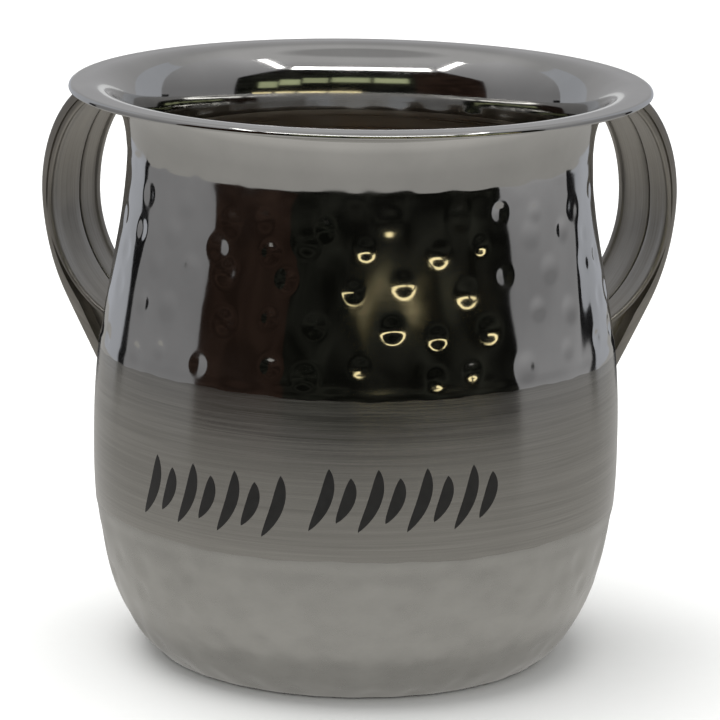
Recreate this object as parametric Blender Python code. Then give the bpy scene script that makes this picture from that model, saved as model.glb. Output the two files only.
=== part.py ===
"""Ritual washing cup: hammered stainless steel cup with two strap handles. Metres, +Z up, front at -Y."""
import math

import bmesh
import bpy
from mathutils import Vector

# Cup: overall sizes and sheet
CUP_HEIGHT = 0.130
BASE_RADIUS = 0.0442
BELLY_RADIUS = 0.0597
BELLY_Z = 0.0480
NECK_RADIUS = 0.0524
LIP_RADIUS = 0.0654
SHEET = 0.0008

# Cup: how the side curves between those
LOWER_FULLNESS = 2.4
LOWER_ROUNDNESS = 1.5
SHOULDER_FULLNESS = 1.25
FLARE_RISE = 0.0142
FLARE_REACH = 0.0100
FLARE_SQUARENESS = 2.3
LIP_TURN_DROP = 0.0013

# Hammer marks and the brushed band that has none
MARKS_ROUND = 32
MARK_PITCH = 0.0090
LOWER_MARK_Z = 0.0062
BAND_LOW_Z = 0.0352
BAND_TOP_Z = 0.0710
BAND_MARGIN = 0.0040
NECK_MARGIN = 0.0045
UPPER_MARK_DEPTH = 0.00055
LOWER_MARK_DEPTH = 0.00040

# Handles: one folded strap each, welded under the lip and at the belly, set back from the sides
HANDLE_SET_BACK = math.radians(32.0)
HANDLE_STAND_OFF = 0.0297
STRAP_WIDTH = 0.0200
STRAP_DEPTH = 0.0034
STRAP_CORNER = 0.0011
LIP_CLEARANCE = 0.0017
TOP_RUN = 0.0096
UPPER_BEND_DROP = 0.0277
LOWER_BEND_RADIUS = 0.0480
FOOT_SLOPE = math.radians(32.5)
INNER_TOP_RUN = 0.0076
INNER_BEND_LAG = 0.0025
INNER_FOOT_REACH = 0.0267
INNER_FOOT_DROP = 0.0275
SEAM_OFFSET = 0.0021
SEAM_WIDTH = 0.0011
WELD_GAP = 0.0003

# What follows from them
NECK_Z = CUP_HEIGHT - SHEET - FLARE_RISE
CREST_RADIUS = NECK_RADIUS + FLARE_REACH
HANDLE_TOP_Z = CUP_HEIGHT - SHEET - LIP_TURN_DROP - LIP_CLEARANCE
HANDLE_REACH = NECK_RADIUS + HANDLE_STAND_OFF
HANDLE_WIDEST_Z = HANDLE_TOP_Z - UPPER_BEND_DROP
SEGMENTS = 2 * MARKS_ROUND
CURVE_STEPS = 48
FLARE_STEPS = 8
LIP_STEPS = 3
UPPER_STATIONS = 9
LOWER_BEND_STATIONS = 6
FOOT_STATIONS = 5


def clear_scene():
    """Removes whatever the scene holds."""
    for item in list(bpy.data.objects):
        bpy.data.objects.remove(item, do_unlink=True)


def srgb(hexcode):
    """Linear colour of an sRGB hex code."""
    channels = [int(hexcode[i:i + 2], 16) / 255.0 for i in (0, 2, 4)]
    linear = [c / 12.92 if c <= 0.04045 else ((c + 0.055) / 1.055) ** 2.4 for c in channels]
    return (*linear, 1.0)


def steel(name, hexcode, roughness):
    """Stainless steel with a given finish."""
    material = bpy.data.materials.new(name)
    material.use_nodes = True
    shader = material.node_tree.nodes["Principled BSDF"]
    shader.inputs["Base Color"].default_value = srgb(hexcode)
    shader.inputs["Metallic"].default_value = 1.0
    shader.inputs["Roughness"].default_value = roughness
    material.diffuse_color = srgb(hexcode)
    return material


def side_radius(height):
    """Outer radius of the cup's side from the base to the neck."""
    if height <= BELLY_Z:
        share = 1.0 - max(height, 0.0) / BELLY_Z
        swell = (1.0 - share ** LOWER_FULLNESS) ** (1.0 / LOWER_ROUNDNESS)
        return BASE_RADIUS + (BELLY_RADIUS - BASE_RADIUS) * swell
    share = min((height - BELLY_Z) / (NECK_Z - BELLY_Z), 1.0)
    swell = 0.5 * (1.0 + math.cos(math.pi * share ** SHOULDER_FULLNESS))
    return NECK_RADIUS + (BELLY_RADIUS - NECK_RADIUS) * swell


def flare_curve():
    """Underside of the flare in (radius, height), from the neck out to the lip's crest."""
    points = []
    for i in range(FLARE_STEPS + 1):
        turn = math.radians(90.0) * i / FLARE_STEPS
        inward = max(math.cos(turn), 0.0) ** (2.0 / FLARE_SQUARENESS)
        upward = math.sin(turn) ** (2.0 / FLARE_SQUARENESS)
        points.append(Vector((CREST_RADIUS - FLARE_REACH * inward, NECK_Z + FLARE_RISE * upward)))
    return points


def lip_turn_curve():
    """Underside of the lip from its crest to its edge, where it is turned down."""
    reach = LIP_RADIUS - SHEET - CREST_RADIUS
    points = []
    for i in range(1, LIP_STEPS + 1):
        turn = math.radians(90.0) * i / LIP_STEPS
        points.append(Vector((CREST_RADIUS + reach * math.sin(turn),
                              CUP_HEIGHT - SHEET - LIP_TURN_DROP * (1.0 - math.cos(turn)))))
    return points


def outer_radius(height):
    """Outer radius of the cup at any height under the lip."""
    if height <= NECK_Z:
        return side_radius(height)
    flare = flare_curve()
    for low, high in zip(flare, flare[1:]):
        if height <= high.y:
            return low.x + (high.x - low.x) * (height - low.y) / (high.y - low.y)
    return CREST_RADIUS


def rows_between(low, high, depth):
    """Evenly spaced rings of hammer marks between two heights, about one pitch apart."""
    count = max(round((high - low) / MARK_PITCH), 1)
    return [(low + (high - low) * i / count, depth) for i in range(count + 1)]


def ring_heights():
    """Heights of the side's rings with the depth of their hammer marks, from the base up."""
    band = (BAND_TOP_Z - BAND_LOW_Z) / 3.0
    rings = [(0.0, 0.0), (0.10 * LOWER_MARK_Z, 0.0), (0.40 * LOWER_MARK_Z, 0.0)]
    rings += rows_between(LOWER_MARK_Z, BAND_LOW_Z - BAND_MARGIN, LOWER_MARK_DEPTH)
    rings += [(BAND_LOW_Z + band * i, 0.0) for i in range(4)]
    rings += rows_between(BAND_TOP_Z + BAND_MARGIN, NECK_Z - NECK_MARGIN, UPPER_MARK_DEPTH)
    return rings


def cup_rings():
    """Every ring of the cup from the base to the lip's edge: point, outward normal, depth of marks."""
    places = [(Vector((side_radius(z), z)), depth) for z, depth in ring_heights()]
    places += [(point, 0.0) for point in flare_curve() + lip_turn_curve()]
    rings = []
    for i, (point, depth) in enumerate(places):
        before = places[max(i - 1, 0)][0]
        after = places[min(i + 1, len(places) - 1)][0]
        along = (after - before).normalized()
        normal = Vector((along.y, -along.x))
        if i == 0:
            normal = Vector((0.0, -1.0))
        if i == len(places) - 1:
            normal = Vector((-1.0, 0.0))
        rings.append((point, normal, depth))
    return rings


def ring_vertices(mesh, point, normal, depth, row, inward):
    """One ring of vertices, every second one struck in by the hammer."""
    verts = []
    depths = []
    for k in range(SEGMENTS):
        struck = depth if (k + row) % 2 == 0 else 0.0
        place = point - normal * (inward + struck)
        angle = 2.0 * math.pi * k / SEGMENTS
        verts.append(mesh.verts.new((place.x * math.cos(angle), place.x * math.sin(angle), place.y)))
        depths.append(struck)
    return verts, depths


def join_rings(mesh, low, high, outward):
    """Skins two rings with triangles, folded along the ridge between two marks."""
    (a, a_deep), (b, b_deep) = low, high
    for k in range(SEGMENTS):
        n = (k + 1) % SEGMENTS
        if a_deep[k] + b_deep[n] > a_deep[n] + b_deep[k]:
            faces = [(a[k], a[n], b[k]), (a[n], b[n], b[k])]
        else:
            faces = [(a[k], a[n], b[n]), (a[k], b[n], b[k])]
        for face in faces:
            mesh.faces.new(face if outward else face[::-1])


def close_disc(mesh, ring, height, upward):
    """Fan from a ring to a middle point."""
    middle = mesh.verts.new((0.0, 0.0, height))
    for k in range(SEGMENTS):
        n = (k + 1) % SEGMENTS
        face = (ring[k], ring[n], middle)
        mesh.faces.new(face if upward else face[::-1])


def finish_object(name, mesh, material):
    """Makes the object, shades it and gives it its material."""
    data = bpy.data.meshes.new(name)
    mesh.to_mesh(data)
    mesh.free()
    data.shade_smooth()
    data.set_sharp_from_angle(angle=math.radians(38.0))
    item = bpy.data.objects.new(name, data)
    bpy.context.scene.collection.objects.link(item)
    data.materials.append(material)
    return item


def make_cup():
    """The hollow cup: hammered side, flared lip turned down at its edge, flat base."""
    mesh = bmesh.new()
    rings = cup_rings()
    outer = [ring_vertices(mesh, *ring, row, 0.0) for row, ring in enumerate(rings)]
    inner = [ring_vertices(mesh, *ring, row, SHEET) for row, ring in enumerate(rings)]
    close_disc(mesh, outer[0][0], 0.0, False)
    close_disc(mesh, inner[0][0], SHEET, True)
    for low, high in zip(outer, outer[1:]):
        join_rings(mesh, low, high, True)
    for low, high in zip(inner, inner[1:]):
        join_rings(mesh, low, high, False)
    join_rings(mesh, outer[-1], inner[-1], True)
    return finish_object("cup_body", mesh, steel("polished_hammered_steel", "B9BBBA", 0.16))


def quarter_bend(run_end, top, reach, widest):
    """Upper bend of the strap, from the end of its top run to where it stands off furthest."""
    points = []
    for i in range(UPPER_STATIONS + 1):
        turn = math.radians(90.0) * (1.0 - i / UPPER_STATIONS)
        points.append(Vector((run_end + (reach - run_end) * math.cos(turn),
                              widest + (top - widest) * math.sin(turn))))
    return points


def upper_path(top, run, reach, widest):
    """One face of the strap in (reach, height), from the neck over the upper bend."""
    start = Vector((outer_radius(top), top))
    run_end = NECK_RADIUS + run
    middle = start.lerp(Vector((run_end, top)), 0.5)
    return [start, middle] + quarter_bend(run_end, top, reach, widest)


def outer_lower_path():
    """Outer face below its widest point: a bend, then straight down to the cup."""
    points = []
    centre = Vector((HANDLE_REACH - LOWER_BEND_RADIUS, HANDLE_WIDEST_Z))
    for i in range(1, LOWER_BEND_STATIONS + 1):
        turn = FOOT_SLOPE * i / LOWER_BEND_STATIONS
        points.append(centre + LOWER_BEND_RADIUS * Vector((math.cos(turn), -math.sin(turn))))
    slope = Vector((-math.sin(FOOT_SLOPE), -math.cos(FOOT_SLOPE)))
    step = 0.0001
    length = 0.0
    bend_end = points[-1]
    while (bend_end + slope * length).x > outer_radius((bend_end + slope * length).y) + WELD_GAP:
        length += step
    for i in range(1, FOOT_STATIONS + 1):
        points.append(bend_end + slope * length * i / FOOT_STATIONS)
    return points


def inner_lower_path(reach, widest):
    """Inner face below its widest point: it turns in to the cup above the foot."""
    last = 0.0
    step = math.radians(0.25)
    centre = Vector((reach - INNER_FOOT_REACH, widest))

    def place(turn):
        return centre + Vector((INNER_FOOT_REACH * math.cos(turn), -INNER_FOOT_DROP * math.sin(turn)))

    while last < math.radians(88.0) and place(last).x > outer_radius(place(last).y) + WELD_GAP:
        last += step
    count = LOWER_BEND_STATIONS + FOOT_STATIONS
    return [place(last * i / count) for i in range(1, count + 1)]


def across(start, end, distance, count):
    """Points along a straight run of the section, without its ends."""
    return [(start + (end - start) * i / count, distance) for i in range(1, count)]


def strap_section(depth):
    """Folded strap across its width: (offset, distance out from the inner face)."""
    half = STRAP_WIDTH / 2.0
    c = min(STRAP_CORNER, 0.45 * STRAP_DEPTH)
    cut = 0.3 * c
    t = SHEET
    left = -SEAM_OFFSET - SEAM_WIDTH / 2.0
    right = -SEAM_OFFSET + SEAM_WIDTH / 2.0
    outside = [(left, 0.0)] + across(left, -half + c, 0.0, 2)
    outside += [(-half + c, 0.0), (-half + cut, cut), (-half, c)]
    outside += [(-half, depth - c), (-half + cut, depth - cut), (-half + c, depth)]
    outside += across(-half + c, half - c, depth, 4)
    outside += [(half - c, depth), (half - cut, depth - cut), (half, depth - c)]
    outside += [(half, c), (half - cut, cut), (half - c, 0.0)]
    outside += across(half - c, right, 0.0, 2) + [(right, 0.0)]
    inside = [(right, t)] + across(right, half - t, t, 2) + [(half - t, t), (half - t, depth - t)]
    inside += across(half - t, -half + t, depth - t, 4)
    inside += [(-half + t, depth - t), (-half + t, t)] + across(-half + t, left, t, 2) + [(left, t)]
    return outside + inside


def make_handle(name, azimuth):
    """One handle: a strap folded from sheet, closed on its inner face by a seam."""
    inner_reach = HANDLE_REACH - STRAP_DEPTH
    inner_widest = HANDLE_WIDEST_Z - INNER_BEND_LAG
    outer = upper_path(HANDLE_TOP_Z, TOP_RUN, HANDLE_REACH, HANDLE_WIDEST_Z) + outer_lower_path()
    inner = upper_path(HANDLE_TOP_Z - STRAP_DEPTH, INNER_TOP_RUN, inner_reach, inner_widest)
    inner += inner_lower_path(inner_reach, inner_widest)
    mesh = bmesh.new()
    out = Vector((math.cos(azimuth), math.sin(azimuth), 0.0))
    side = Vector((-math.sin(azimuth), math.cos(azimuth), 0.0))
    rings = []
    last = len(outer) - 1
    for i, (far, near) in enumerate(zip(outer, inner)):
        direction = (far - near).normalized()
        ring = []
        for offset, distance in strap_section((far - near).length):
            place = near + direction * distance
            reach = place.x
            if i in (0, last):
                reach = math.sqrt((outer_radius(place.y) + WELD_GAP) ** 2 - offset ** 2)
            ring.append(mesh.verts.new(out * reach + side * offset + Vector((0.0, 0.0, place.y))))
        rings.append(ring)
    count = len(rings[0])
    for low, high in zip(rings, rings[1:]):
        for k in range(count):
            n = (k + 1) % count
            mesh.faces.new((low[k], low[n], high[n]))
            mesh.faces.new((low[k], high[n], high[k]))
    caps = [mesh.faces.new(rings[0]), mesh.faces.new(rings[-1])]
    bmesh.ops.triangulate(mesh, faces=caps)
    bmesh.ops.recalc_face_normals(mesh, faces=mesh.faces)
    return finish_object(name, mesh, steel("satin_steel", "8F8D89", 0.34))


def build():
    """Builds every piece."""
    clear_scene()
    make_cup()
    make_handle("handle_right", HANDLE_SET_BACK)
    make_handle("handle_left", math.pi - HANDLE_SET_BACK)


build()
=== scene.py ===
"""Ritual washing cup in hammered stainless steel: its finished surfaces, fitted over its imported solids."""

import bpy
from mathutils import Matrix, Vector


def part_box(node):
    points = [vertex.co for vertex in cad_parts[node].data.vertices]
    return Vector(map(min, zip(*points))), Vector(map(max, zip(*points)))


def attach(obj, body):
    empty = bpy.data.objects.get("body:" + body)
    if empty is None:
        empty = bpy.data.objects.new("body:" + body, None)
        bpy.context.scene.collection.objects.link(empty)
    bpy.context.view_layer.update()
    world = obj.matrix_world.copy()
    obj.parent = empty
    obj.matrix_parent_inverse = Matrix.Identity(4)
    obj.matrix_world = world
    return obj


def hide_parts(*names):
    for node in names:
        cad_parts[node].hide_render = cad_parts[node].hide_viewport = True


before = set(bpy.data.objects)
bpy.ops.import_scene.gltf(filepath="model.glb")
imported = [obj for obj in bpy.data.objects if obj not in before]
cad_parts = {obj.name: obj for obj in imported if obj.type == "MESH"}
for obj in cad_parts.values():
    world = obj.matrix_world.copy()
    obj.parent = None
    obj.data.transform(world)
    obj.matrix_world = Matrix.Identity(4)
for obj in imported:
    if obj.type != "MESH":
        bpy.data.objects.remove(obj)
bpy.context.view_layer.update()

import math
import random

import bmesh
import bpy
import numpy as np
from bpy.props import FloatProperty, FloatVectorProperty, IntProperty, PointerProperty
from mathutils import Matrix, Vector

bl_info = {
    "name": "Ritual washing cup",
    "version": (1, 0, 0),
    "blender": (4, 5, 0),
    "location": "View3D > Sidebar > Washing cup",
    "description": "Hammered steel cup with two strap handles, on a pale studio floor",
    "category": "Object",
}

MM = 0.001
CUP_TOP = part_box("cup_body")[1].z
LIP_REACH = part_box("cup_body")[1].x
# Most of a noise pattern lies between these values
NOISE_RANGE = (0.3, 0.7)
# Vertices in each of the cup's rings, and in those of its polished part
ROUND = 320
FINE_ROUND = 640
# Rings of the base and of the floor inside: vertices, and share of the base's radius
BASE_RINGS = ((40, 0.12), (80, 0.3), (160, 0.6), (320, 0.85))
# The blasted part keeps more of the polishing waves than the buffed one
SATIN_WAVES = 2.2


def linear(hexcode):
    """Linear colour of an sRGB hex code."""
    channels = [int(hexcode[i:i + 2], 16) / 255.0 for i in (0, 2, 4)]
    return tuple(c / 12.92 if c <= 0.04045 else ((c + 0.055) / 1.055) ** 2.4 for c in channels)


def length(name, default, description):
    """A size that the user can change, in metres."""
    return FloatProperty(name=name, description=description, default=default, min=0.0,
                         subtype="DISTANCE", unit="LENGTH", precision=5)


def angle(name, degrees, description):
    """An angle that the user can change."""
    return FloatProperty(name=name, description=description, default=math.radians(degrees),
                         subtype="ANGLE", unit="ROTATION")


def share(name, default, description):
    """A number without a unit."""
    return FloatProperty(name=name, description=description, default=default, precision=4)


def tint(name, hexcode, description):
    """A colour that the user can change, given as an sRGB hex code."""
    return FloatVectorProperty(name=name, description=description, default=linear(hexcode),
                               subtype="COLOR", size=3, min=0.0, max=1.0)


class WashingCupBody(bpy.types.PropertyGroup):
    """Sizes of the cup itself."""
    height: length("Height", CUP_TOP, "From the base to the lip's crest")
    base_radius: length("Base radius", 0.0442, "Flat foot under the rounded heel")
    belly_radius: length("Belly radius", 0.0597, "Widest part of the side")
    belly_height: length("Belly height", 0.0480, "Where the side is widest")
    neck_radius: length("Neck radius", 0.0524, "Narrowest part under the flare")
    lip_radius: length("Lip radius", LIP_REACH, "Edge of the turned-down lip")
    sheet: length("Sheet", 0.0008, "Thickness of the steel")
    heel_fullness: share("Heel fullness", 2.4, "How long the side stays steep over the foot")
    heel_roundness: share("Heel roundness", 1.5, "How round the turn at the foot is")
    shoulder_fullness: share("Shoulder fullness", 1.25, "How far up the shoulder stays full")
    flare_rise: length("Flare rise", 0.0142, "Height of the flare over the neck")
    flare_reach: length("Flare reach", 0.0086, "How far the flare opens")
    flare_squareness: share("Flare squareness", 2.2, "How suddenly the flare turns out")
    lip_turn_radius: length("Lip turn radius", 0.00098, "Bend of the lip's upper face at its edge")
    lip_turn: angle("Lip turn", 86.0, "How far the lip's edge is turned down")
    band_low: length("Band foot", 0.0352, "Lower edge of the brushed band")
    band_top: length("Band top", 0.0710, "Upper edge of the brushed band")
    band_wobble: length("Band wobble", 0.00022, "Unevenness of the band's masked edges")


class WashingCupHammer(bpy.types.PropertyGroup):
    """The dents that the hammer left."""
    seed: IntProperty(name="Seed", description="Another seed strikes the dents elsewhere", default=11, min=0)
    upper_rows: IntProperty(name="Upper rows", description="Rows of dents above the band", default=6, min=1)
    upper_pitch: length("Upper row pitch", 0.0100, "From the lowest upper row to the next")
    upper_closing: share("Upper closing", 0.86, "How much closer each row is than the one below")
    upper_spacing: length("Upper spacing", 0.0125, "From dent to dent along a row")
    upper_radius: length("Upper dent radius", 0.0033, "Rim of a dent in the polished part")
    upper_depth: length("Upper dent depth", 0.00028, "Depth of a dent in the polished part")
    upper_fade: length("Upper fade", 0.0120, "Height over which the dents get shallower up to the neck")
    lower_pitch: length("Lower row pitch", 0.0070, "From row to row below the band")
    lower_spacing: length("Lower spacing", 0.0098, "From dent to dent along a row")
    lower_radius: length("Lower dent radius", 0.0041, "Rim of a dent in the satin part")
    lower_depth: length("Lower dent depth", 0.00032, "Depth of a dent in the satin part")
    ripple_depth: length("Ripple depth", 0.000022, "Slow waves that polishing leaves between dents")


class WashingCupHandles(bpy.types.PropertyGroup):
    """Sizes of the two folded straps."""
    set_back: angle("Set back", 32.0, "Turn of each handle from the cup's side to its back")
    reach: length("Reach", 0.0821, "From the cup's axis to the strap's outer face")
    strap_width: length("Strap width", 0.0200, "Across the strap")
    strap_depth: length("Strap depth", 0.0034, "Through the folded strap")
    lip_clearance: length("Lip clearance", 0.0030, "Between the lip's underside and the strap under it")
    top_run: length("Top run", 0.0096, "Level part of the outer face")
    inner_top_run: length("Inner top run", 0.0076, "Level part of the inner face")
    bend_drop: length("Bend drop", 0.0277, "Height of the upper bend")
    inner_bend_lag: length("Inner bend lag", 0.0025, "How much lower the inner face is widest")
    lower_bend_radius: length("Lower bend radius", 0.0480, "Bend below the widest point")
    foot_slope: angle("Foot slope", 32.5, "Slope of the straight foot from the vertical")
    inner_foot_reach: length("Inner foot reach", 0.0267, "How far the inner face turns in to the cup")
    inner_foot_drop: length("Inner foot drop", 0.0275, "How far the inner face drops as it turns in")
    seam_offset: length("Seam offset", 0.0021, "Seam from the middle of the inner face")
    seam_width: length("Seam width", 0.0005, "Gap between the two folded edges")
    rim_width: length("Rim width", 0.0019, "Rounded rim at each side of the inner face")
    inner_sink: length("Inner sink", 0.00055, "How deep the inner face lies between its rims")
    foot_hollow: length("Foot hollow", 0.0026, "How far the foot's sides are pinched in")
    weld_bead: length("Weld bead", 0.0006, "Radius of the bead round each end")


class WashingCupPrint(bpy.types.PropertyGroup):
    """The ornamental strokes printed round the brushed band."""
    first_height: length("First height", 0.0470, "Height of the first group's middle")
    second_height: length("Second height", 0.0492, "Height of the second group's middle")
    stroke_height: length("Stroke height", 0.0140, "Height of a long stroke")
    stroke_width: length("Stroke width", 0.0030, "Width at a stroke's belly")
    stroke_pitch: length("Stroke pitch", 0.0054, "From stroke to stroke")
    film: length("Film", 0.00006, "Thickness of the printed film")
    lean: angle("Lean", 17.0, "Lean of the strokes from the vertical")
    first_from: angle("First group from", -51.0, "Left end of the first group, from the front")
    first_to: angle("First group to", -15.0, "Right end of the first group")
    second_from: angle("Second group from", -10.0, "Left end of the second group")
    second_to: angle("Second group to", 31.0, "Right end of the second group")


class WashingCupFinishes(bpy.types.PropertyGroup):
    """Colours of the steel's finishes and of the print."""
    polished: tint("Polished steel", "BDBCB9", "Buffed and hammered steel above the band")
    brushed: tint("Brushed steel", "A19F9A", "Lathe-brushed band")
    satin: tint("Satin steel", "A9A8A4", "Blasted steel below the band")
    inside: tint("Inside steel", "B9AFA2", "Inside of the cup, left from spinning")
    strap: tint("Strap steel", "A39F98", "Satin strap of the handles")
    weld: tint("Weld steel", "827B72", "Brushed-over weld beads")
    ink: tint("Stoved ink", "151413", "Black screen print")


class WashingCupStage(bpy.types.PropertyGroup):
    """Floor, cards, lamp and camera."""
    floor_half: length("Floor half width", 3.0, "Half the width of the pale floor")
    card_radius: length("Card radius", 0.50, "Distance of the standing cards from the cup")
    wall_height: length("Wall height", 0.56, "Height of the standing cards in front")
    ceiling_height: length("Ceiling height", 0.92, "Height of the level card over the cup")
    sky: tint("Sky", "E0E1E2", "Soft light from all round")
    floor: tint("Floor", "EFEFED", "Pale paper floor")
    camera_back: length("Camera distance", 0.8891, "From the cup's axis to the camera, on the floor")
    camera_height: length("Camera height", 0.2771, "Height of the camera")
    target_height: length("Target height", 0.0650, "Height of the point that the camera looks at")
    aim_right: length("Aim right", 0.00074, "The picture's middle to the right of the axis")
    aim_up: length("Aim up", 0.00112, "The picture's middle above the target")
    roll: FloatProperty(name="Roll", description="Turn of the camera round its own view",
                        default=0.01552, subtype="ANGLE", unit="ROTATION")
    lens: FloatProperty(name="Lens", description="Focal length on a 36 mm sensor",
                        default=200.8, unit="CAMERA")


# Materials


def add_node(tree, kind, sockets=None, **settings):
    """Adds a node, sets it up, and fills its sockets with values or with links from other sockets."""
    node = tree.nodes.new(kind)
    for name, value in settings.items():
        setattr(node, name, value)
    for socket, value in (sockets or {}).items():
        if isinstance(value, bpy.types.NodeSocket):
            tree.links.new(value, node.inputs[socket])
        else:
            node.inputs[socket].default_value = value
    return node


def new_material(name):
    """A material with its plain shader, its nodes' tree, and the place on the object."""
    material = bpy.data.materials.new(name)
    material.use_nodes = True
    tree = material.node_tree
    return material, tree, add_node(tree, "ShaderNodeTexCoord").outputs["Object"]


def new_steel(name, roughness):
    """A plain steel: metallic, with the default IOR."""
    material, tree, place = new_material(name)
    shader = tree.nodes["Principled BSDF"]
    shader.inputs["Metallic"].default_value = 1.0
    shader.inputs["Roughness"].default_value = roughness
    return material, tree, place


def pattern(tree, place, pitch, detail, roughness=0.5):
    """A cloudy pattern whose features are as large along each axis as pitch says, in metres."""
    scaled = add_node(tree, "ShaderNodeMapping", {"Vector": place, "Scale": [1.0 / p for p in pitch]})
    noise = add_node(tree, "ShaderNodeTexNoise",
                     {"Vector": scaled.outputs[0], "Scale": 1.0, "Detail": detail, "Roughness": roughness})
    return noise.outputs[0]


def finish_surface(tree, colour, tones, wear, relief=None):
    """Gives a surface its tones, wear and relief, each led by a pattern.

    Tones are (pattern, pattern's range, darkest, lightest), wear is (pattern, smoothest, roughest),
    and relief is (pattern, strength, height in metres).
    """
    shader = tree.nodes["Principled BSDF"]
    source, (low, high), darkest, lightest = tones
    amount = add_node(tree, "ShaderNodeMapRange", {"Value": source, "From Min": low, "From Max": high})
    mix = add_node(tree, "ShaderNodeMix", {"Factor": amount.outputs[0]}, data_type="RGBA")
    mix.inputs["A"].default_value = (*[c * darkest for c in colour], 1.0)
    mix.inputs["B"].default_value = (*[min(c * lightest, 1.0) for c in colour], 1.0)
    tree.links.new(mix.outputs["Result"], shader.inputs["Base Color"])
    source, smoothest, roughest = wear
    low, high = NOISE_RANGE
    worn = add_node(tree, "ShaderNodeMapRange", {"Value": source, "From Min": low, "From Max": high,
                                                 "To Min": smoothest, "To Max": roughest})
    tree.links.new(worn.outputs[0], shader.inputs["Roughness"])
    if relief:
        source, strength, height = relief
        bump = add_node(tree, "ShaderNodeBump", {"Height": source, "Strength": strength, "Distance": height})
        tree.links.new(bump.outputs[0], shader.inputs["Normal"])


def polished_steel(colour):
    """Stainless steel, buffed after hammering: a mirror with faint wiping marks and a little orange peel."""
    material, tree, place = new_steel("stainless_polished_hammered", 0.06)
    smears = pattern(tree, place, (14 * MM,) * 3, 4.0)
    peel = pattern(tree, place, (3.2 * MM,) * 3, 1.0)
    finish_surface(tree, colour, (smears, NOISE_RANGE, 0.93, 1.04), (smears, 0.045, 0.10),
                   (peel, 0.25, 0.02 * MM))
    return material


def brushed_steel(colour):
    """Stainless steel, brushed in the lathe: level hairlines that smear reflections upwards."""
    material, tree, place = new_steel("stainless_lathe_brushed", 0.3)
    shader = tree.nodes["Principled BSDF"]
    shader.inputs["Anisotropic"].default_value = 0.85
    shader.inputs["Anisotropic Rotation"].default_value = 0.25
    turned = add_node(tree, "ShaderNodeTangent", direction_type="RADIAL", axis="Z")
    tree.links.new(turned.outputs[0], shader.inputs["Tangent"])
    coarse = pattern(tree, place, (90 * MM, 90 * MM, 0.85 * MM), 2.0, 0.6)
    # grit 180 leaves lines of about 0.08 mm, drawn as 0.24 mm so that they show
    fine = pattern(tree, place, (24 * MM, 24 * MM, 0.24 * MM), 2.0, 0.7)
    lines = add_node(tree, "ShaderNodeMath", {0: coarse, 1: fine}, operation="ADD").outputs[0]
    finish_surface(tree, colour, (lines, (0.7, 1.3), 0.84, 1.10), (fine, 0.16, 0.24),
                   (lines, 0.35, 0.03 * MM))
    return material


def satin_steel(colour):
    """Stainless steel, fine-blasted over the hammer marks: soft grey, cloudy patches and a dry grain."""
    material, tree, place = new_steel("stainless_satin_hammered", 0.36)
    clouds = pattern(tree, place, (11 * MM, 11 * MM, 7 * MM), 5.0, 0.6)
    # blasting grit of 0.1 mm, drawn as 0.35 mm so that it shows
    grain = pattern(tree, place, (0.35 * MM,) * 3, 2.0)
    finish_surface(tree, colour, (clouds, NOISE_RANGE, 0.90, 1.06), (clouds, 0.24, 0.34),
                   (grain, 0.2, 0.02 * MM))
    return material


def inside_steel(colour):
    """Stainless steel as spun, never buffed: dull, a little brown, with the spinning tool's faint rings."""
    material, tree, place = new_steel("stainless_spun_inside", 0.3)
    rings = pattern(tree, place, (70 * MM, 70 * MM, 1.1 * MM), 3.0, 0.6)
    finish_surface(tree, colour, (rings, NOISE_RANGE, 0.85, 1.06), (rings, 0.24, 0.36),
                   (rings, 0.3, 0.04 * MM))
    return material


def strap_steel(colour):
    """Stainless strap, satin-ground along its length before folding: warm grey with long soft streaks."""
    material, tree, place = new_steel("stainless_satin_strap", 0.4)
    along = add_node(tree, "ShaderNodeUVMap", uv_map="strap").outputs[0]
    streaks = pattern(tree, along, (0.5 * MM, 30 * MM, 1.0), 3.0, 0.6)
    clouds = pattern(tree, place, (9 * MM,) * 3, 4.0)
    both = add_node(tree, "ShaderNodeMath", {0: streaks, 1: clouds}, operation="ADD").outputs[0]
    finish_surface(tree, colour, (both, (0.75, 1.25), 0.82, 1.12), (clouds, 0.34, 0.46),
                   (streaks, 0.2, 0.02 * MM))
    return material


def weld_steel(colour):
    """Stainless weld bead, wire-brushed: duller and browner than the strap, with its ripples left."""
    material, tree, place = new_steel("stainless_weld_bead", 0.42)
    scale = pattern(tree, place, (0.9 * MM,) * 3, 3.0)
    finish_surface(tree, colour, (scale, NOISE_RANGE, 0.7, 1.15), (scale, 0.34, 0.52),
                   (scale, 0.5, 0.06 * MM))
    return material


def stoved_ink(colour):
    """Black screen-printing enamel, stoved on: flat, barely glossy, with a few thin places."""
    material, tree, place = new_material("enamel_ink_black")
    tree.nodes["Principled BSDF"].inputs["IOR"].default_value = 1.5
    patches = pattern(tree, place, (1.6 * MM,) * 3, 3.0)
    finish_surface(tree, colour, (patches, NOISE_RANGE, 0.7, 1.5), (patches, 0.42, 0.58))
    return material


def paper_floor(colour):
    """Matt white background paper: no gloss, with a very faint fibre."""
    material, tree, place = new_material("background_paper")
    fibre = pattern(tree, place, (3 * MM,) * 3, 2.0)
    finish_surface(tree, colour, (fibre, (0.0, 1.0), 0.985, 1.0), (fibre, 0.9, 0.9))
    return material


def glowing_card(name, hexcode, strength=1.0):
    """A card or lamp cloth that gives the steel something to mirror."""
    return glowing(name, hexcode, strength)[0]


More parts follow.
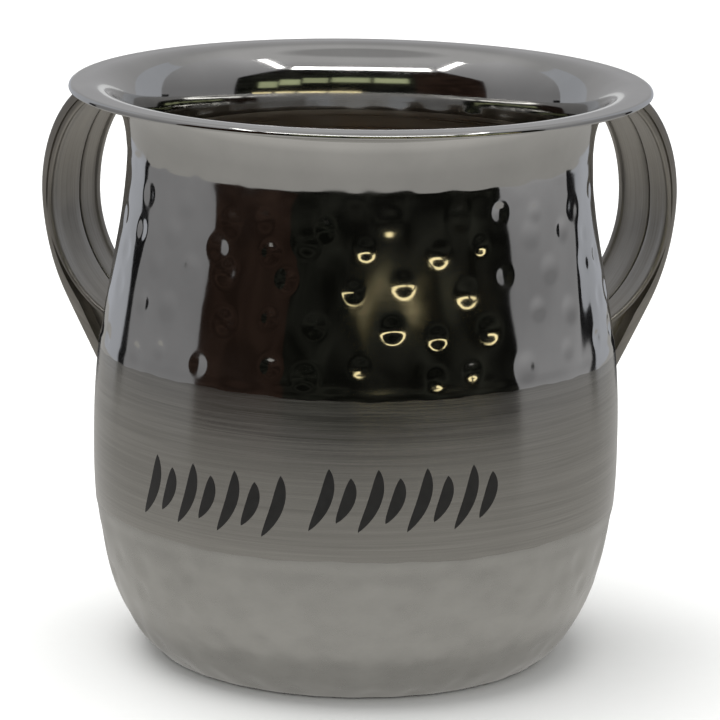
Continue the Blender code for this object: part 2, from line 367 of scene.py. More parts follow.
def glowing(name, hexcode, strength=1.0):
    """A material that only glows, its nodes' tree, the place on it, and the socket of its strength."""
    material, tree, _ = new_material(name)
    tree.nodes.clear()
    place = add_node(tree, "ShaderNodeTexCoord").outputs["Object"]
    glow = add_node(tree, "ShaderNodeEmission", {"Color": (*linear(hexcode), 1.0), "Strength": strength})
    add_node(tree, "ShaderNodeOutputMaterial", {"Surface": glow.outputs[0]})
    return material, tree, place, glow.inputs["Strength"]


def room_card(name, hexcode, dimmest, brightest):
    """A card that stands for a dark room, with dim shapes in it that are wider than they are high."""
    material, tree, place, glow = glowing(name, hexcode)
    shapes = pattern(tree, place, (0.11, 0.11, 0.035), 2.0)
    light = add_node(tree, "ShaderNodeMapRange", {"Value": shapes, "From Min": 0.4, "From Max": 0.75,
                                                  "To Min": dimmest, "To Max": brightest})
    tree.links.new(light.outputs[0], glow)
    return material


def graded_card(name, hexcode, measure, stops):
    """A card whose light changes with its Z or its Radius from the cup's axis; stops are (metres, light)."""
    material, tree, place, glow = glowing(name, hexcode)
    if measure == "Radius":
        level = add_node(tree, "ShaderNodeVectorMath", {0: place, 1: (1.0, 1.0, 0.0)}, operation="MULTIPLY")
        reach = add_node(tree, "ShaderNodeVectorMath", {0: level.outputs[0]}, operation="LENGTH")
        metres = reach.outputs["Value"]
    else:
        metres = add_node(tree, "ShaderNodeSeparateXYZ", {0: place}).outputs[measure]
    first, last = stops[0][0], stops[-1][0]
    along = add_node(tree, "ShaderNodeMapRange", {"Value": metres, "From Min": first, "From Max": last})
    ramp = add_node(tree, "ShaderNodeValToRGB", {"Fac": along.outputs[0]})
    elements = ramp.color_ramp.elements
    while len(elements) < len(stops):
        elements.new(1.0)
    for element, (at, light) in zip(elements, stops):
        element.position = (at - first) / (last - first)
        element.color = (light, light, light, 1.0)
    tree.links.new(ramp.outputs[0], glow)
    return material


# The cup's shape


def neck_height(cup):
    """Height of the narrowest part of the neck."""
    return cup.height - cup.sheet - cup.flare_rise


def side_radius(cup, heights):
    """Outer radius of the cup's side at heights from the base to the neck."""
    z = np.asarray(heights, float)
    low = np.clip(1.0 - z / cup.belly_height, 0.0, 1.0)
    heel = cup.base_radius + (cup.belly_radius - cup.base_radius) * \
        (1.0 - low ** cup.heel_fullness) ** (1.0 / cup.heel_roundness)
    up = np.clip((z - cup.belly_height) / (neck_height(cup) - cup.belly_height), 0.0, 1.0)
    shoulder = cup.neck_radius + (cup.belly_radius - cup.neck_radius) * \
        0.5 * (1.0 + np.cos(math.pi * up ** cup.shoulder_fullness))
    return np.where(z <= cup.belly_height, heel, shoulder)


def flare_points(cup, count):
    """Underside of the flare, from the neck out to the lip's crest."""
    turn = np.linspace(0.0, math.pi / 2, count)
    power = 2.0 / cup.flare_squareness
    crest = cup.neck_radius + cup.flare_reach
    return (crest - cup.flare_reach * np.clip(np.cos(turn), 0.0, 1.0) ** power,
            neck_height(cup) + cup.flare_rise * np.sin(turn) ** power)


def outer_radius(cup, height):
    """Outer radius of the cup at one height under the lip."""
    if height <= neck_height(cup):
        return float(side_radius(cup, height))
    radii, heights = flare_points(cup, 200)
    return float(np.interp(height, heights, radii))


class CupProfile:
    """Outer face of the cup as a fine line from the base's edge to the lip's edge, measured along itself."""

    def __init__(self, cup):
        heel = cup.belly_height * np.linspace(0.0, 1.0, 900) ** 2.0
        shoulder = np.linspace(cup.belly_height, neck_height(cup), 700)[1:]
        heights = np.concatenate([heel, shoulder])
        flare_r, flare_z = flare_points(cup, 300)
        crest = cup.neck_radius + cup.flare_reach
        bend = cup.lip_turn_radius - cup.sheet
        edge = cup.lip_radius - 0.5 * cup.sheet * (1.0 + math.sin(cup.lip_turn))
        start = edge - bend * math.sin(cup.lip_turn)
        turn = np.linspace(0.0, cup.lip_turn, 60)[1:]
        lip_r = np.concatenate([np.linspace(crest, start, 60)[1:], start + bend * np.sin(turn)])
        lip_z = cup.height - cup.sheet - np.concatenate([np.zeros(59), bend * (1.0 - np.cos(turn))])
        self.r = np.concatenate([side_radius(cup, heights), flare_r[1:], lip_r])
        self.z = np.concatenate([heights, flare_z[1:], lip_z])
        step = np.hypot(np.diff(self.r), np.diff(self.z))
        self.s = np.concatenate([[0.0], np.cumsum(step)])
        dr, dz = np.gradient(self.r, self.s), np.gradient(self.z, self.s)
        dr[0], dz[0], dr[-1], dz[-1] = 1.0, 0.0, math.cos(cup.lip_turn), -math.sin(cup.lip_turn)
        size = np.hypot(dr, dz)
        self.nr, self.nz = dz / size, -dr / size
        self.side_end = len(heights) - 1
        self.crest = self.s[self.side_end + len(flare_r) - 1]
        self.lip_bend = self.s[-len(turn) - 1]
        self.end = self.s[-1]

    def at_height(self, height):
        """Distance along the line at which the side reaches a height."""
        return float(np.interp(height, self.z[:self.side_end + 1], self.s[:self.side_end + 1]))

    def place(self, s):
        """Point and outward normal at distances along the line."""
        return [np.interp(s, self.s, part) for part in (self.r, self.z, self.nr, self.nz)]


class HammeredFace:
    """How deep the hammer and the buffing wheel left the sheet at each place."""

    def __init__(self, cup, hammer, profile):
        self.profile = profile
        self.band_low = profile.at_height(cup.band_low)
        self.band_top = profile.at_height(cup.band_top)
        self.neck = profile.at_height(neck_height(cup))
        chance = random.Random(hammer.seed)
        self.dents = []
        height = cup.band_top + 0.5 * hammer.upper_pitch
        pitch = hammer.upper_pitch
        for row in range(hammer.upper_rows):
            fade = min(max((neck_height(cup) + 2.0 * MM - height) / hammer.upper_fade, 0.0), 1.0)
            self.strike_row(chance, height, hammer.upper_spacing, hammer.upper_radius,
                            fade * hammer.upper_depth, row)
            height += pitch
            pitch *= hammer.upper_closing
        s = 0.5 * hammer.lower_pitch
        row = 0
        while s < self.band_low - 0.5 * hammer.lower_radius:
            height = float(profile.place(s)[1])
            self.strike_row(chance, height, hammer.lower_spacing, hammer.lower_radius,
                            hammer.lower_depth, row)
            s += hammer.lower_pitch
            row += 1
        self.waves = [self.wave(chance, hammer.ripple_depth) for _ in range(9)]
        self.dents = np.array(self.dents)

    def strike_row(self, chance, height, spacing, radius, depth, row):
        """One row of dents round the cup, none of them quite in line."""
        s = self.profile.at_height(height)
        around = float(self.profile.place(s)[0])
        count = max(round(2.0 * math.pi * around / spacing), 3)
        for k in range(count):
            turn = 2.0 * math.pi * (k + 0.5 * (row % 2) + chance.uniform(-0.24, 0.24)) / count
            self.dents.append((turn, s + chance.uniform(-0.16, 0.16) * spacing,
                               radius * chance.uniform(0.78, 1.2), depth * chance.uniform(0.65, 1.3)))

    def wave(self, chance, depth):
        """One slow wave that runs slantwise round the cup."""
        return (chance.randint(16, 38), chance.uniform(-420.0, 420.0), chance.uniform(0.0, 2.0 * math.pi),
                depth * chance.uniform(0.5, 1.0))

    def depth(self, turns, s):
        """Depth of the struck surface along one ring."""
        total = np.zeros(len(turns))
        around = float(self.profile.place(s)[0])
        for turn, centre, radius, deep in self.dents[np.abs(self.dents[:, 1] - s) < self.dents[:, 2]]:
            side = (turns - turn + math.pi) % (2.0 * math.pi) - math.pi
            near = ((side * around) ** 2 + (s - centre) ** 2) / radius ** 2
            total += deep * np.clip(1.0 - near, 0.0, None) ** 2
        edge = 2.5 * MM
        upper = np.clip(min((s - self.band_top) / edge, (self.neck + edge - s) / edge), 0.0, 1.0)
        lower = np.clip(min(s / edge, (self.band_low - s) / edge), 0.0, 1.0)
        for lobes, climb, start, deep in self.waves:
            total += deep * (1.0 + np.sin(lobes * turns + climb * s + start)) * (upper + SATIN_WAVES * lower)
        return total * max(upper, lower)


def bridge(faces, slots, low, low_count, high, high_count, slot):
    """Skins the strip between two rings; one may have twice as many vertices as the other."""
    if low_count == high_count:
        for k in range(low_count):
            n = (k + 1) % low_count
            faces.append((low + k, low + n, high + n, high + k))
            slots.append(slot)
    elif high_count == 2 * low_count:
        for k in range(low_count):
            n = (k + 1) % low_count
            a, b, c = high + 2 * k, high + 2 * k + 1, high + (2 * k + 2) % high_count
            faces.extend([(low + k, low + n, b), (low + k, b, a), (low + n, c, b)])
            slots.extend([slot] * 3)
    else:
        for k in range(high_count):
            n = (k + 1) % high_count
            a, b, c = low + 2 * k, low + 2 * k + 1, low + (2 * k + 2) % low_count
            faces.extend([(a, b, high + k), (b, c, high + n), (b, high + n, high + k)])
            slots.extend([slot] * 3)


POLISHED, BRUSHED, SATIN, INSIDE = range(4)


def zone_stops(start, end, spacing):
    """Even stops along the profile, without the first."""
    count = max(round(abs(end - start) / spacing), 1)
    return list(np.linspace(start, end, count + 1)[1:])


def cup_rings(cup, face, profile):
    """Every ring of the cup in order, over the outside, round the lip's edge and down the inside."""
    lines = [(0.0, ROUND, SATIN, 0.0)]
    for start, end, spacing, count, slot in (
            (0.0, face.band_low, 1.1 * MM, ROUND, SATIN),
            (face.band_low, face.band_top, 3.0 * MM, ROUND, BRUSHED),
            (face.band_top, face.neck, 0.78 * MM, FINE_ROUND, POLISHED),
            (face.neck, profile.crest, 1.2 * MM, ROUND, POLISHED),
            (profile.crest, profile.lip_bend, 0.5 * MM, ROUND, POLISHED),
            (profile.lip_bend, profile.end, 0.04 * MM, ROUND, POLISHED)):
        lines += [(s, count, slot, 0.0) for s in zone_stops(start, end, spacing)]
    edge_steps = 8
    lines += [(profile.end, ROUND, POLISHED, turn) for turn in np.linspace(0.0, 1.0, edge_steps + 1)[1:]]
    for start, end, spacing, slot in (
            (profile.end, profile.lip_bend, 0.04 * MM, POLISHED),
            (profile.lip_bend, profile.crest, 0.5 * MM, POLISHED),
            (profile.crest, face.neck, 1.0 * MM, POLISHED),
            (face.neck, face.band_top, 1.3 * MM, INSIDE),
            (face.band_top, face.band_low, 3.6 * MM, INSIDE),
            (face.band_low, 0.0, 1.5 * MM, INSIDE)):
        lines += [(s, ROUND, slot, 1.0) for s in zone_stops(start, end, spacing)]
    return lines


def make_cup(cup, hammer, finishes):
    """The whole cup as one closed sheet: base, heel, brushed band, shoulder, flare, lip and inside."""
    profile = CupProfile(cup)
    face = HammeredFace(cup, hammer, profile)
    points, faces, slots, rings = [], [], [], []

    def add_ring(radii, heights, turns, slot):
        rings.append((len(points), len(turns), slot))
        points.extend(np.column_stack([radii * np.cos(turns), radii * np.sin(turns), heights]).tolist())

    def circle(count):
        return np.arange(count) * (2.0 * math.pi / count)

    for count, part in BASE_RINGS:
        add_ring(cup.base_radius * part, np.zeros(count), circle(count), SATIN)
    wobbles = {face.band_low: (7, 19, 43), face.band_top: (5, 23, 57)}
    for s, count, slot, through in cup_rings(cup, face, profile):
        turns = circle(count)
        where = np.full(count, s)
        if through == 0.0 and s in wobbles:
            for i, lobes in enumerate(wobbles[s]):
                where = where + cup.band_wobble / (i + 1) * np.sin(lobes * turns + 1.7 * i)
        r, z, nr, nz = profile.place(where)
        deep = face.depth(turns, s)
        if 0.0 < through < 1.0:
            away = 0.5 * cup.sheet * (1.0 - math.cos(math.pi * through))
            bulge = 0.5 * cup.sheet * math.sin(math.pi * through)
            r, z = r - nr * away - nz * bulge, z - nz * away + nr * bulge
        else:
            r, z = r - nr * (deep + cup.sheet * through), z - nz * (deep + cup.sheet * through)
        add_ring(r, z, turns, slot)
    for count, part in reversed(BASE_RINGS):
        add_ring(cup.base_radius * part, np.full(count, cup.sheet), circle(count), INSIDE)
    for (low, low_count, _), (high, high_count, slot) in zip(rings, rings[1:]):
        bridge(faces, slots, low, low_count, high, high_count, slot)
    for (start, count, slot), height, turned in ((rings[0], 0.0, True), (rings[-1], cup.sheet, False)):
        middle = len(points)
        points.append((0.0, 0.0, height))
        for k in range(count):
            pair = (start + k, start + (k + 1) % count)
            faces.append((middle, pair[1], pair[0]) if turned else (pair[0], pair[1], middle))
            slots.append(slot)
    data = bpy.data.meshes.new("cup_hammered")
    data.from_pydata(points, [], faces)
    data.polygons.foreach_set("material_index", slots)
    data.shade_smooth()
    for material in (polished_steel(finishes.polished), brushed_steel(finishes.brushed),
                     satin_steel(finishes.satin), inside_steel(finishes.inside)):
        data.materials.append(material)
    data.validate()
    return add_piece("cup_hammered", data, "cup_body", "cup_body")


def add_piece(name, data, slot, *nodes):
    """Puts a piece on the cup's one body and hides the solids that it stands for; the slot is not used."""
    piece = bpy.data.objects.new(name, data)
    bpy.context.scene.collection.objects.link(piece)
    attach(piece, "root")
    if nodes:
        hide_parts(*nodes)
    return piece


# The handles' shape


def bend_over(cup, top, run, reach, widest, stations):
    """One face of the strap in (reach, height), from the neck over the upper bend."""
    run_end = cup.neck_radius + run
    start = Vector((outer_radius(cup, top), top))
    level = [start.lerp(Vector((run_end, top)), i / 4.0) for i in range(4)]
    bend = []
    for i in range(stations + 1):
        turn = math.radians(90.0) * (1.0 - i / stations)
        bend.append(Vector((run_end + (reach - run_end) * math.cos(turn),
                            widest + (top - widest) * math.sin(turn))))
    return level + bend


def outer_foot(cup, handles, widest, bends, straights):
    """Outer face below its widest point: a bend, then straight down to the cup."""
    centre = Vector((handles.reach - handles.lower_bend_radius, widest))
    points = []
    for i in range(1, bends + 1):
        turn = handles.foot_slope * i / bends
        points.append(centre + handles.lower_bend_radius * Vector((math.cos(turn), -math.sin(turn))))
    slope = Vector((-math.sin(handles.foot_slope), -math.cos(handles.foot_slope)))
    start = points[-1].copy()
    run = 0.0
    while (start + slope * run).x > outer_radius(cup, (start + slope * run).y):
        run += 0.05 * MM
    return points + [start + slope * run * i / straights for i in range(1, straights + 1)]


def inner_foot(cup, handles, reach, widest, count):
    """Inner face below its widest point: it turns in to the cup above the foot."""
    centre = Vector((reach - handles.inner_foot_reach, widest))

    def place(turn):
        return centre + Vector((handles.inner_foot_reach * math.cos(turn),
                                -handles.inner_foot_drop * math.sin(turn)))

    last = 0.0
    while last < math.radians(88.0) and place(last).x > outer_radius(cup, place(last).y):
        last += math.radians(0.1)
    return [place(last * i / count) for i in range(1, count + 1)]


def strap_outline(cup, handles, depth):
    """Section of the folded strap: (offset across, distance out from the inner face, distance round it)."""
    half = handles.strap_width / 2.0
    rim, sink, sheet = handles.rim_width, handles.inner_sink, cup.sheet
    corner = min(1.1 * MM, 0.4 * depth)
    inner_corner = 0.7 * MM
    lip = min(1.3 * MM, 0.40 * depth)
    shell = depth - min(5.0 * MM, 0.56 * depth)
    pinch = handles.foot_hollow * min(max((depth - handles.strap_depth) / (5.0 * MM), 0.0), 1.0)
    crown = 0.00025
    side = [(half - rim - 0.45 * MM, sink), (half - rim - 0.15 * MM, 0.75 * sink),
            (half - rim, 0.2 * sink), (half - rim + 0.2 * MM, 0.0), (half - inner_corner, 0.0)]
    side += [(half - inner_corner + inner_corner * math.sin(t), inner_corner * (1.0 - math.cos(t)))
             for t in np.linspace(0.25, math.pi / 2, 4)]
    side += [(half, lip), (half - 0.7 * pinch, lip + 0.1 * pinch), (half - pinch, lip + 0.35 * pinch),
             (half - pinch, shell - 0.35 * pinch), (half - 0.7 * pinch, shell - 0.1 * pinch), (half, shell)]
    side += [(half - corner + corner * math.cos(t), depth - corner - crown + corner * math.sin(t))
             for t in np.linspace(0.0, math.pi / 2, 6)]
    left, right = (-handles.seam_offset + k * handles.seam_width / 2.0 for k in (-1, 1))
    edge = 0.18 * MM
    start = half - rim - 0.45 * MM
    outside = [(left, sink + edge), (left - 0.3 * edge, sink + 0.3 * edge), (left - edge, sink)]
    outside += [(left - edge + (-start - left + edge) * i / 4.0, sink) for i in range(1, 4)]
    outside += [(-offset, distance) for offset, distance in side]
    outside += [((half - corner) * k / 4.0, depth - crown * (k / 4.0) ** 2) for k in (-3, -2, -1, 0, 1, 2, 3)]
    outside += side[::-1]
    outside += [(start + (right + edge - start) * i / 4.0, sink) for i in range(1, 4)]
    outside += [(right + edge, sink), (right + 0.3 * edge, sink + 0.3 * edge), (right, sink + edge)]
    deep, far = sink + sheet, half - sheet - pinch
    inside = [(right, deep), (0.5 * (right + far), deep), (far, deep), (far, depth - sheet - crown),
              (0.0, depth - sheet), (-far, depth - sheet - crown), (-far, deep),
              (0.5 * (left - far), deep), (left, deep)]
    return outside + inside


def make_handle(cup, handles, name, node, azimuth, material):
    """One handle: a strap folded from sheet, its two edges meeting in a seam on the inner face."""
    top = cup.height - cup.sheet - handles.lip_clearance
    widest = top - handles.bend_drop
    inner_reach = handles.reach - handles.strap_depth
    inner_widest = widest - handles.inner_bend_lag
    bends = 30
    outer = bend_over(cup, top, handles.top_run, handles.reach, widest, bends)
    outer += outer_foot(cup, handles, widest, 18, 18)
    inner = bend_over(cup, top - handles.strap_depth, handles.inner_top_run, inner_reach, inner_widest, bends)
    inner += inner_foot(cup, handles, inner_reach, inner_widest, 36)
    out = Vector((math.cos(azimuth), math.sin(azimuth), 0.0))
    across = Vector((-math.sin(azimuth), math.cos(azimuth), 0.0))
    points, uvs, faces = [], [], []
    travelled = 0.0
    count = 0
    for i, (far, near) in enumerate(zip(outer, inner)):
        if i:
            travelled += 0.5 * ((far - outer[i - 1]).length + (near - inner[i - 1]).length)
        direction = (far - near).normalized()
        outline = strap_outline(cup, handles, (far - near).length)
        count = len(outline)
        for offset, distance in outline:
            place = near + direction * distance
            reach = place.x
            if i in (0, len(outer) - 1):
                reach = math.sqrt((outer_radius(cup, place.y) - 0.1 * MM) ** 2 - offset ** 2)
            points.append(out * reach + across * offset + Vector((0.0, 0.0, place.y)))
            uvs.append((offset + 0.7 * distance, travelled))
    for ring in range(len(outer) - 1):
        low, high = ring * count, (ring + 1) * count
        for k in range(count):
            n = (k + 1) % count
            faces.append((low + k, low + n, high + n, high + k))
    data = bpy.data.meshes.new(name)
    last = (len(outer) - 1) * count
    faces.append(tuple(range(count - 1, -1, -1)))
    faces.append(tuple(range(last, last + count)))
    data.from_pydata(points, [], faces)
    layer = data.uv_layers.new(name="strap")
    corners = np.zeros(len(data.loops), np.int32)
    data.loops.foreach_get("vertex_index", corners)
    layer.data.foreach_set("uv", np.array(uvs)[corners].ravel())
    data.shade_smooth()
    data.set_sharp_from_angle(angle=math.radians(50.0))
    data.materials.append(material)
    face_outwards(data)
    add_piece(name, data, "handles", node)
    ends = [(outer[0], inner[0]), (outer[-1], inner[-1])]
    return [(far, near, out, across) for far, near in ends]


def face_outwards(data):
    """Turns a closed mesh's faces outwards."""
    mesh = bmesh.new()
    mesh.from_mesh(data)
    bmesh.ops.recalc_face_normals(mesh, faces=mesh.faces)
    mesh.to_mesh(data)
    mesh.free()


def make_welds(cup, handles, ends, material):
    """A small rippled bead round each end of each strap, where it meets the cup."""
    curve = bpy.data.curves.new("weld_beads", "CURVE")
    curve.dimensions = "3D"
    curve.bevel_depth = handles.weld_bead
    curve.bevel_resolution = 3
    half = handles.strap_width / 2.0
    for far, near, out, across in ends:
        low, high = sorted((far.y, near.y))
        corners = [(-half, low), (half, low), (half, high), (-half, high)]
        loop = []
        for (a, b), (c, d) in zip(corners, corners[1:] + corners[:1]):
            steps = max(round(math.hypot(c - a, d - b) / (0.35 * MM)), 2)
            loop += [(a + (c - a) * i / steps, b + (d - b) * i / steps) for i in range(steps)]
        spline = curve.splines.new("POLY")
        spline.points.add(len(loop) - 1)
        for i, (offset, height) in enumerate(loop):
            reach = math.sqrt(outer_radius(cup, height) ** 2 - offset ** 2)
            place = out * reach + across * offset + Vector((0.0, 0.0, height))
            spline.points[i].co = (*place, 1.0)
            spline.points[i].radius = 1.0 + 0.22 * math.sin(i * 2.1)
        spline.use_cyclic_u = True
    curve.materials.append(material)
    return add_piece("weld_beads", curve, "handles")


# The printed strokes


def stroke_shape(height, width, lean):
    """One brush stroke with pointed ends and a full belly: rows of (left, right, height)."""
    rows = []
    for t in np.linspace(-1.0, 1.0, 25):
        belly = width / 2.0 * (1.0 - abs(t) ** 2.2) ** 0.8
        middle = 0.5 * height * t * math.tan(lean) + 0.10 * height * (1.0 - t * t)
        rows.append((middle - belly, middle + belly, 0.5 * height * t))
    return rows


def make_strokes(cup, band, material):
    """Two groups of leaning strokes on the band, long and short by turns: an ornament without letters."""
    points, faces = [], []

    def add_stroke(centre, height_at, rows):
        start = len(points)
        columns = 7
        for lift in (band.film, -band.film):
            for left, right, rise in rows:
                z = height_at + rise
                radius = float(side_radius(cup, z)) + lift
                for c in range(columns):
                    across = left + (right - left) * c / (columns - 1)
                    turn = centre + across / cup.belly_radius - math.pi / 2
                    points.append((radius * math.cos(turn), radius * math.sin(turn), z))
        size = len(rows) * columns
        for r in range(len(rows) - 1):
            for c in range(columns - 1):
                a = start + r * columns + c
                faces.append((a, a + 1, a + columns + 1, a + columns))
                b = a + size
                faces.append((b + columns, b + columns + 1, b + 1, b))
        border = [(0, c) for c in range(columns)] + [(r, columns - 1) for r in range(1, len(rows))]
        border += [(len(rows) - 1, c) for c in range(columns - 2, -1, -1)] + [(r, 0) for r in
                                                                              range(len(rows) - 2, 0, -1)]
        ring = [start + r * columns + c for r, c in border]
        for a, b in zip(ring, ring[1:] + ring[:1]):
            faces.append((b, a, a + size, b + size))

    for start, end, middle in ((band.first_from, band.first_to, band.first_height),
                               (band.second_from, band.second_to, band.second_height)):
        arc = (end - start) * cup.belly_radius
        count = max(round(arc / band.stroke_pitch), 2)
        for i in range(count):
            short = i % 2 == 1
            short_share = 0.72
            height = band.stroke_height * (short_share if short else 1.0)
            rows = stroke_shape(height, band.stroke_width, band.lean)
            add_stroke(start + (i + 0.5) * (end - start) / count, middle, rows)
    data = bpy.data.meshes.new("band_strokes")
    data.from_pydata(points, [], faces)
    data.validate()
    data.shade_smooth()
    data.set_sharp_from_angle(angle=math.radians(40.0))
    data.materials.append(material)
    return add_piece("band_strokes", data, "cup_body")


# The stage


def stage_object(name, points, faces, material, camera=True):
    """A floor or card. Cards show only in the steel."""
    data = bpy.data.meshes.new(name)
    data.from_pydata(points, [], faces)
    data.materials.append(material)
    item = bpy.data.objects.new(name, data)
    bpy.context.scene.collection.objects.link(item)
    item.visible_camera = camera
    if not camera:
        item.visible_diffuse = False
        item.visible_shadow = False
        item.visible_transmission = False
    return item


def standing_card(name, start, end, low, high, radius, material, high_end=None):
    """An upright card, curved round the cup from one azimuth to another; its top may slope to high_end."""
    steps = max(int(abs(end - start) / 3.0), 1)
    points, faces = [], []
    for i in range(steps + 1):
        turn = math.radians(start + (end - start) * i / steps)
        rise = 0.0 if high_end is None else (high_end - high) * i / steps
        for height in (low, high + rise):
            points.append((radius * math.sin(turn), -radius * math.cos(turn), height))
    for i in range(steps):
        a = 2 * i
        faces.append((a, a + 1, a + 3, a + 2))
    return stage_object(name, points, faces, material, camera=False)


def level_card(name, radius, height, material):
    """A round card that lies level."""
    steps = 72
    turns = [2 * math.pi * i / steps for i in range(steps)]
    points = [(radius * math.cos(turn), radius * math.sin(turn), height) for turn in turns]
    return stage_object(name, points, [tuple(range(steps))], material, camera=False)


def slanting_bar(name, side, low, high, width, material):
    """A straight lamp that leans over the cup; its ends are (azimuth from the front, radius, height)."""
    ends = []
    for degrees, radius, height in (low, high):
        turn = math.radians(degrees)
        ends.append(Vector((side * radius * math.sin(turn), -radius * math.cos(turn), height)))
    across = (ends[1] - ends[0]).cross(ends[0]).normalized() * 0.5 * width
    points = [ends[0] - across, ends[0] + across, ends[1] + across, ends[1] - across]
    return stage_object(name, points, [(0, 1, 2, 3)], material, camera=False)


def make_stage(stage):
    """Pale floor, soft sky and lamp, and the cards that the steel mirrors."""
    half = stage.floor_half
    stage_object("floor", [(-half, -half, 0.0), (half, -half, 0.0), (half, half, 0.0), (-half, half, 0.0)],
                 [(0, 1, 2, 3)], paper_floor(stage.floor))
    wall, radius, top = stage.wall_height, stage.card_radius, stage.ceiling_height
    # Light of the table card, which the steel mirrors as the floor: brightest near the cup and dimmer farther
    # out, with a painted contact shadow in the dim stops under the cup's heel
    table = ((0.0, 0.45), (0.055, 0.45), (0.062, 0.66), (0.10, 0.64), (0.14, 0.51), (0.30, 0.43),
             (0.80, 0.38), (1.60, 0.40))
    ceiling = ((0.0, 0.40), (0.20, 0.40), (0.30, 0.60), (0.46, 0.60), (0.80, 0.45), (1.30, 0.45))
    level_card("table_card", 3.2 * radius, 0.4 * MM, graded_card("table_grey_with_painted_shadow", "FFFDF9", "Radius", table))
    level_card("ceiling_card", 2.6 * radius, top, graded_card("ceiling_grey", "FDFDFF", "Radius", ceiling))
    dark_room = room_card("room_black", "C9CDB9", 0.008, 0.045)
    brown_room = room_card("room_brown", "BC9784", 0.035, 0.080)
    standing_card("room_card_dark", -30.0, 46.0, 0.0, wall, radius, dark_room)
    standing_card("room_card_right", 46.0, 71.0, 0.0, wall, radius, dark_room, high_end=0.38)
    standing_card("room_card_brown", -46.0, -30.0, 0.0, wall, radius, brown_room)
    standing_card("room_card_left", -46.0, -70.5, 0.0, wall, radius, brown_room, high_end=0.38)
    near, edge_top = 0.84 * radius, 0.03
    table_edge = [(-near, -near, 0.0), (near, -near, 0.0), (near, -near, edge_top), (-near, -near, edge_top)]
    stage_object("table_edge", table_edge, [(0, 1, 2, 3)], dark_room, camera=False)
    far_grey = glowing_card("far_grey", "B8BBC2")
    edge_black = glowing_card("edge_black", "1A1A1B")
    for name, side, foot in (("left", -1.0, 0.33), ("right", 1.0, 0.46)):
        side_light = ((0.0, foot), (0.14, 0.28), (0.25, 0.28), (0.90, 0.60))
        side_grey = graded_card("side_grey_" + name, "FBFBFF", "Z", side_light)
        standing_card("side_card_" + name, side * 46.0, side * 124.0, 0.0, top, 1.01 * radius, side_grey)
        standing_card("edge_card_" + name, side * 118.0, side * 124.0, 0.0, 0.20, 0.98 * radius, edge_black)
        standing_card("far_card_" + name, side * 124.0, side * 165.0, 0.0, wall, radius, far_grey)
    back_grey = glowing_card("back_grey", "B0B0B2")
    back_black = glowing_card("back_black", "1A1A1B")
    standing_card("back_card", 150.0, 210.0, 0.18, wall, 0.98 * radius, back_grey)
    standing_card("back_card_low", 150.0, 210.0, 0.0, 0.07, 0.6 * radius, back_black)
    tube = glowing_card("tube_white", "FFFFFF", 6.0)
    standing_card("tube_front", -42.0, 42.0, wall, wall + 0.09, radius, tube)
    for name, side in (("left", -1.0), ("right", 1.0)):
        bar_foot, bar_head = (49.0, radius, wall + 0.03), (80.0, 0.9 * radius, top - 0.02)
        slanting_bar("tube_" + name, side, bar_foot, bar_head, 0.04, tube)
    low_pane = glowing_card("pane_yellow", "F4E3AE", 2.4)
    low_sill, low_head = 0.166, 0.184
    for start, end in ((0.0, 17.0), (18.5, 34.0), (36.0, 47.0), (49.0, 60.0)):
        standing_card(f"low_pane_{start:.0f}", start, end, low_sill, low_head, 0.98 * radius, low_pane)
    high_panes = ((-26.0, -7.0, 0.300), (-5.0, 16.0, 0.300), (18.0, 32.0, 0.290), (33.5, 45.0, 0.265),
                  (46.0, 57.0, 0.235))
    pane_height = 0.075
    for i, (start, end, sill) in enumerate(high_panes):
        pane = glowing_card(f"pane_green_{i}", "C5CDA2", 1.0 - 0.12 * (i % 3))
        standing_card(f"high_pane_{i}", start, end, sill, sill + pane_height, 0.98 * radius, pane)
    world = bpy.data.worlds.new("soft_sky")
    world.use_nodes = True
    world.node_tree.nodes["Background"].inputs["Color"].default_value = (*stage.sky, 1.0)
    world.node_tree.nodes["Background"].inputs["Strength"].default_value = 1.0
    bpy.context.scene.world = world
    lamp = bpy.data.lights.new("soft_lamp", "AREA")
    lamp.shape = "DISK"
    lamp.size = 2.4
    lamp.energy = 55.0
    item = bpy.data.objects.new("soft_lamp", lamp)
    item.location = (-0.3, 0.3, 2.2)
    item.rotation_euler = item.location.to_track_quat("Z", "Y").to_euler()
    item.visible_glossy = False
    bpy.context.scene.collection.objects.link(item)
    bpy.context.scene.view_settings.view_transform = "Standard"


def make_camera(stage):
    """The camera at the photograph's angle."""
    place = Vector((0.0, -stage.camera_back, stage.camera_height))
    target = Vector((0.0, 0.0, stage.target_height))
    ahead = (target - place).normalized()
    flat_right = Vector((1.0, 0.0, 0.0))
    flat_up = flat_right.cross(ahead)
    right = math.cos(stage.roll) * flat_right + math.sin(stage.roll) * flat_up
    up = -math.sin(stage.roll) * flat_right + math.cos(stage.roll) * flat_up
    aim = (target + stage.aim_right * right + stage.aim_up * up - place).normalized()
    right = (right - aim * right.dot(aim)).normalized()
    up = right.cross(aim)
    lens = bpy.data.cameras.new("camera")
    lens.lens = stage.lens
    lens.sensor_width = 36.0
    lens.clip_start = 0.05
    camera = bpy.data.objects.new("camera", lens)
    turn = Matrix((right, up, -aim)).transposed().to_4x4()
    camera.matrix_world = Matrix.Translation(place) @ turn
    bpy.context.scene.collection.objects.link(camera)
    bpy.context.scene.camera = camera


# Operators and panel


class WASHINGCUP_OT_spin_cup(bpy.types.Operator):
    """Spin, hammer and finish the cup"""
    bl_idname = "washing_cup.spin_cup"
    bl_label = "Spin and hammer the cup"
    bl_options = {"REGISTER", "UNDO"}

    def execute(self, context):
        scene = context.scene
        make_cup(scene.washing_cup_body, scene.washing_cup_hammer, scene.washing_cup_finishes)
        return {"FINISHED"}


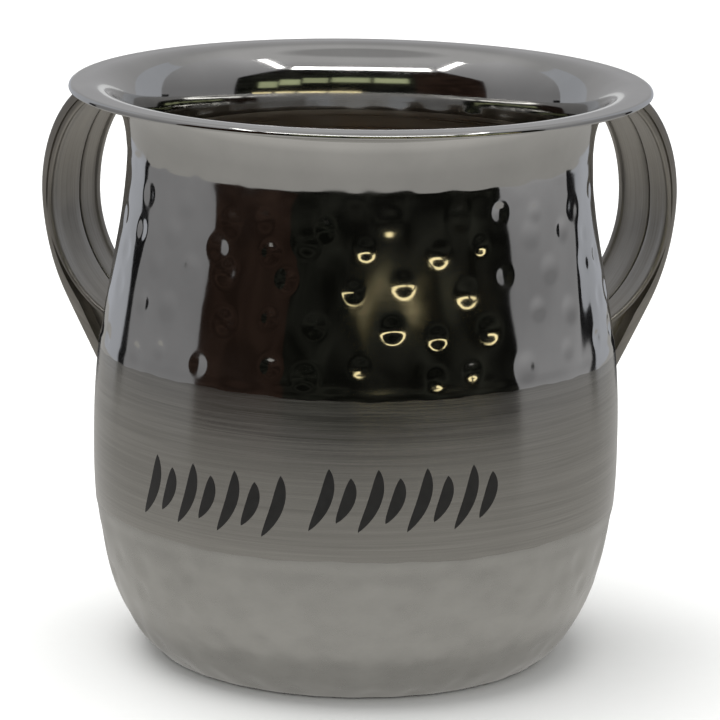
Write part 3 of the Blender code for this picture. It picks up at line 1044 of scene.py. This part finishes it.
class WASHINGCUP_OT_fold_handles(bpy.types.Operator):
    """Fold the two strap handles and weld them on"""
    bl_idname = "washing_cup.fold_handles"
    bl_label = "Fold and weld the handles"
    bl_options = {"REGISTER", "UNDO"}

    def execute(self, context):
        scene = context.scene
        cup, handles = scene.washing_cup_body, scene.washing_cup_handles
        finishes = scene.washing_cup_finishes
        strap = strap_steel(finishes.strap)
        ends = make_handle(cup, handles, "strap_right", "handle_right", handles.set_back, strap)
        ends += make_handle(cup, handles, "strap_left", "handle_left", math.pi - handles.set_back, strap)
        make_welds(cup, handles, ends, weld_steel(finishes.weld))
        return {"FINISHED"}


class WASHINGCUP_OT_print_strokes(bpy.types.Operator):
    """Print the ornamental strokes on the brushed band"""
    bl_idname = "washing_cup.print_strokes"
    bl_label = "Print the strokes"
    bl_options = {"REGISTER", "UNDO"}

    def execute(self, context):
        scene = context.scene
        ink = stoved_ink(scene.washing_cup_finishes.ink)
        make_strokes(scene.washing_cup_body, scene.washing_cup_print, ink)
        return {"FINISHED"}


class WASHINGCUP_OT_set_stage(bpy.types.Operator):
    """Set the floor, cards, light and camera"""
    bl_idname = "washing_cup.set_stage"
    bl_label = "Set the stage"
    bl_options = {"REGISTER", "UNDO"}

    def execute(self, context):
        make_stage(context.scene.washing_cup_stage)
        make_camera(context.scene.washing_cup_stage)
        return {"FINISHED"}


class WASHINGCUP_PT_sidebar(bpy.types.Panel):
    """Everything that can be changed on the cup"""
    bl_idname = "WASHINGCUP_PT_sidebar"
    bl_label = "Washing cup"
    bl_space_type = "VIEW_3D"
    bl_region_type = "UI"
    bl_category = "Washing cup"

    def draw(self, context):
        for group, operators in PANEL_ROWS:
            box = self.layout.box()
            settings = getattr(context.scene, group)
            for name in settings.__annotations__:
                box.prop(settings, name)
            for operator in operators:
                box.operator(operator)


GROUPS = {
    "washing_cup_body": WashingCupBody,
    "washing_cup_hammer": WashingCupHammer,
    "washing_cup_handles": WashingCupHandles,
    "washing_cup_print": WashingCupPrint,
    "washing_cup_finishes": WashingCupFinishes,
    "washing_cup_stage": WashingCupStage,
}
PANEL_ROWS = (
    ("washing_cup_finishes", ()),
    ("washing_cup_body", ()),
    ("washing_cup_hammer", ("washing_cup.spin_cup",)),
    ("washing_cup_handles", ("washing_cup.fold_handles",)),
    ("washing_cup_print", ("washing_cup.print_strokes",)),
    ("washing_cup_stage", ("washing_cup.set_stage",)),
)
CLASSES = (*GROUPS.values(), WASHINGCUP_OT_spin_cup, WASHINGCUP_OT_fold_handles, WASHINGCUP_OT_print_strokes,
           WASHINGCUP_OT_set_stage, WASHINGCUP_PT_sidebar)


def register():
    """Adds the classes and the scene's settings."""
    for item in CLASSES:
        bpy.utils.register_class(item)
    for name, group in GROUPS.items():
        setattr(bpy.types.Scene, name, PointerProperty(type=group))


def unregister():
    """Takes the settings and the classes away again."""
    for name in reversed(GROUPS):
        delattr(bpy.types.Scene, name)
    for item in reversed(CLASSES):
        bpy.utils.unregister_class(item)


def main():
    """Makes the whole scene."""
    register()
    bpy.ops.washing_cup.spin_cup()
    bpy.ops.washing_cup.fold_handles()
    bpy.ops.washing_cup.print_strokes()
    bpy.ops.washing_cup.set_stage()


if __name__ == "__main__":
    main()
